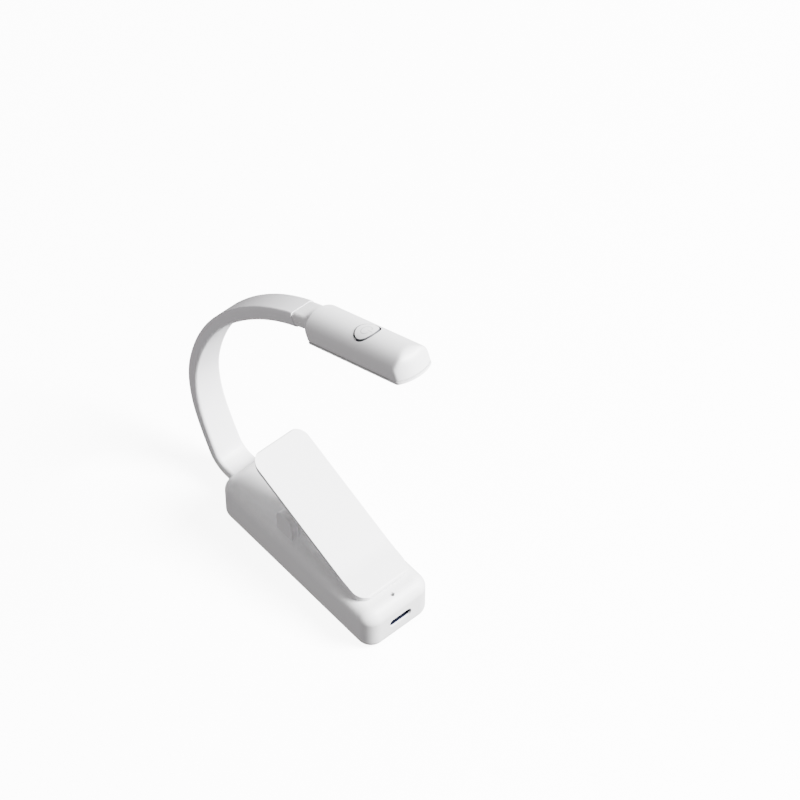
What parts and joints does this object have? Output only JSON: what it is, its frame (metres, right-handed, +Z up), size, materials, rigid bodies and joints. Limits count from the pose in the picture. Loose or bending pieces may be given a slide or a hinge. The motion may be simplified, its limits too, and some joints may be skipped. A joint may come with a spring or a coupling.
{
  "type": "clip-on reading lamp",
  "caption": "Battery reading lamp with a sprung book clip on its housing, a flat flexible neck and a slim LED head with a push button.",
  "frame": {"origin": "centre of the housing's flat underside", "axes": "+X along the housing towards the charging port, +Z up out of the housing's underside, +Y across the housing"},
  "size_m": [0.1127, 0.028, 0.1522],
  "materials": {
    "white_plastic": "satin white moulded ABS with a fine spark texture",
    "white_silicone": "soft matte white silicone",
    "soft_pad": "matte soft pad",
    "steel": "plain steel",
    "spring_steel": "drawn spring wire",
    "tinned_steel": "tinned pressed steel",
    "black_plastic": "black moulded plastic",
    "circuit_board": "green solder mask",
    "white_board": "white solder mask",
    "battery_foil": "laminated pouch foil",
    "foam_tape": "white foam tape",
    "lead_insulation": "flexible insulation",
    "clear_plastic": "clear moulded light pipe",
    "opal_diffuser": "opal light diffuser",
    "led_lens": "phosphor coated LED"
  },
  "bodies": {
    "housing": {"base_cover": "white_plastic", "top_cover": "white_plastic", "battery_cell": "battery_foil", "battery_tape": "foam_tape", "main_board": "circuit_board", "charger_chip": "black_plastic", "charge_led": "led_lens", "charge_light_pipe": "clear_plastic", "usb_socket": "tinned_steel", "usb_tongue": "black_plastic", "jaw_pad_lower": "soft_pad", "clip_pivot_pin": "steel", "clip_torsion_spring": "spring_steel", "neck_anchor": "steel", "anchor_screw_1": "steel", "anchor_screw_2": "steel", "base_screw_1": "steel", "base_screw_2": "steel", "base_screw_3": "steel", "base_screw_4": "steel", "neck_sleeve_1": "white_silicone", "neck_strip_1": "steel", "neck_lead_1": "lead_insulation"},
    "lever": {"clip_lever": "white_plastic", "jaw_pad_upper": "soft_pad"},
    "neck_link_2": {"neck_sleeve_2": "white_silicone", "neck_strip_2": "steel", "neck_lead_2": "lead_insulation"},
    "neck_link_3": {"neck_sleeve_3": "white_silicone", "neck_strip_3": "steel", "neck_lead_3": "lead_insulation"},
    "neck_link_4": {"neck_sleeve_4": "white_silicone", "neck_strip_4": "steel", "neck_lead_4": "lead_insulation"},
    "neck_link_5": {"neck_sleeve_5": "white_silicone", "neck_strip_5": "steel", "neck_lead_5": "lead_insulation"},
    "head": {"neck_sleeve_6": "white_silicone", "neck_strip_6": "steel", "neck_lead_6": "lead_insulation", "neck_end_cap": "white_plastic", "strip_crimp": "steel", "head_top_shell": "white_plastic", "head_bottom_cover": "white_plastic", "light_diffuser": "opal_diffuser", "led_board": "white_board", "led_1": "led_lens", "led_2": "led_lens", "led_3": "led_lens", "led_4": "led_lens", "tact_switch": "black_plastic"},
    "button": {"power_button": "white_plastic", "switch_plunger": "black_plastic"}
  },
  "joints": [
    {"name": "clip_hinge", "type": "hinge", "parent": "housing", "child": "lever", "pos_m": [-0.00745, 0, 0.0234], "axis": [0, -1, 0], "range_deg": [0, 35], "stiffness_Nm_per_rad": 0.22, "springref_deg": -34.38, "deforming": ["clip_torsion_spring"]},
    {"name": "neck_bend_1", "type": "hinge", "parent": "housing", "child": "neck_link_2", "pos_m": [-0.05804, 0, 0.02186], "axis": [0, 1, 0], "range_deg": [-25, 15]},
    {"name": "neck_bend_2", "type": "hinge", "parent": "neck_link_2", "child": "neck_link_3", "pos_m": [-0.06246, 0, 0.04912], "axis": [0, 1, 0], "range_deg": [-25, 15]},
    {"name": "neck_bend_3", "type": "hinge", "parent": "neck_link_3", "child": "neck_link_4", "pos_m": [-0.05385, 0, 0.07566], "axis": [0, 1, 0], "range_deg": [-25, 15]},
    {"name": "neck_bend_4", "type": "hinge", "parent": "neck_link_4", "child": "neck_link_5", "pos_m": [-0.0382, 0, 0.09878], "axis": [0, 1, 0], "range_deg": [-25, 15]},
    {"name": "neck_bend_5", "type": "hinge", "parent": "neck_link_5", "child": "head", "pos_m": [-0.01777, 0, 0.11783], "axis": [0, 1, 0], "range_deg": [-25, 15]},
    {"name": "button_press", "type": "slide", "parent": "head", "child": "button", "axis": [0.4099, 0, -0.9121], "range_m": [0, 0.0005], "stiffness_N_per_m": 1500}
  ]
}
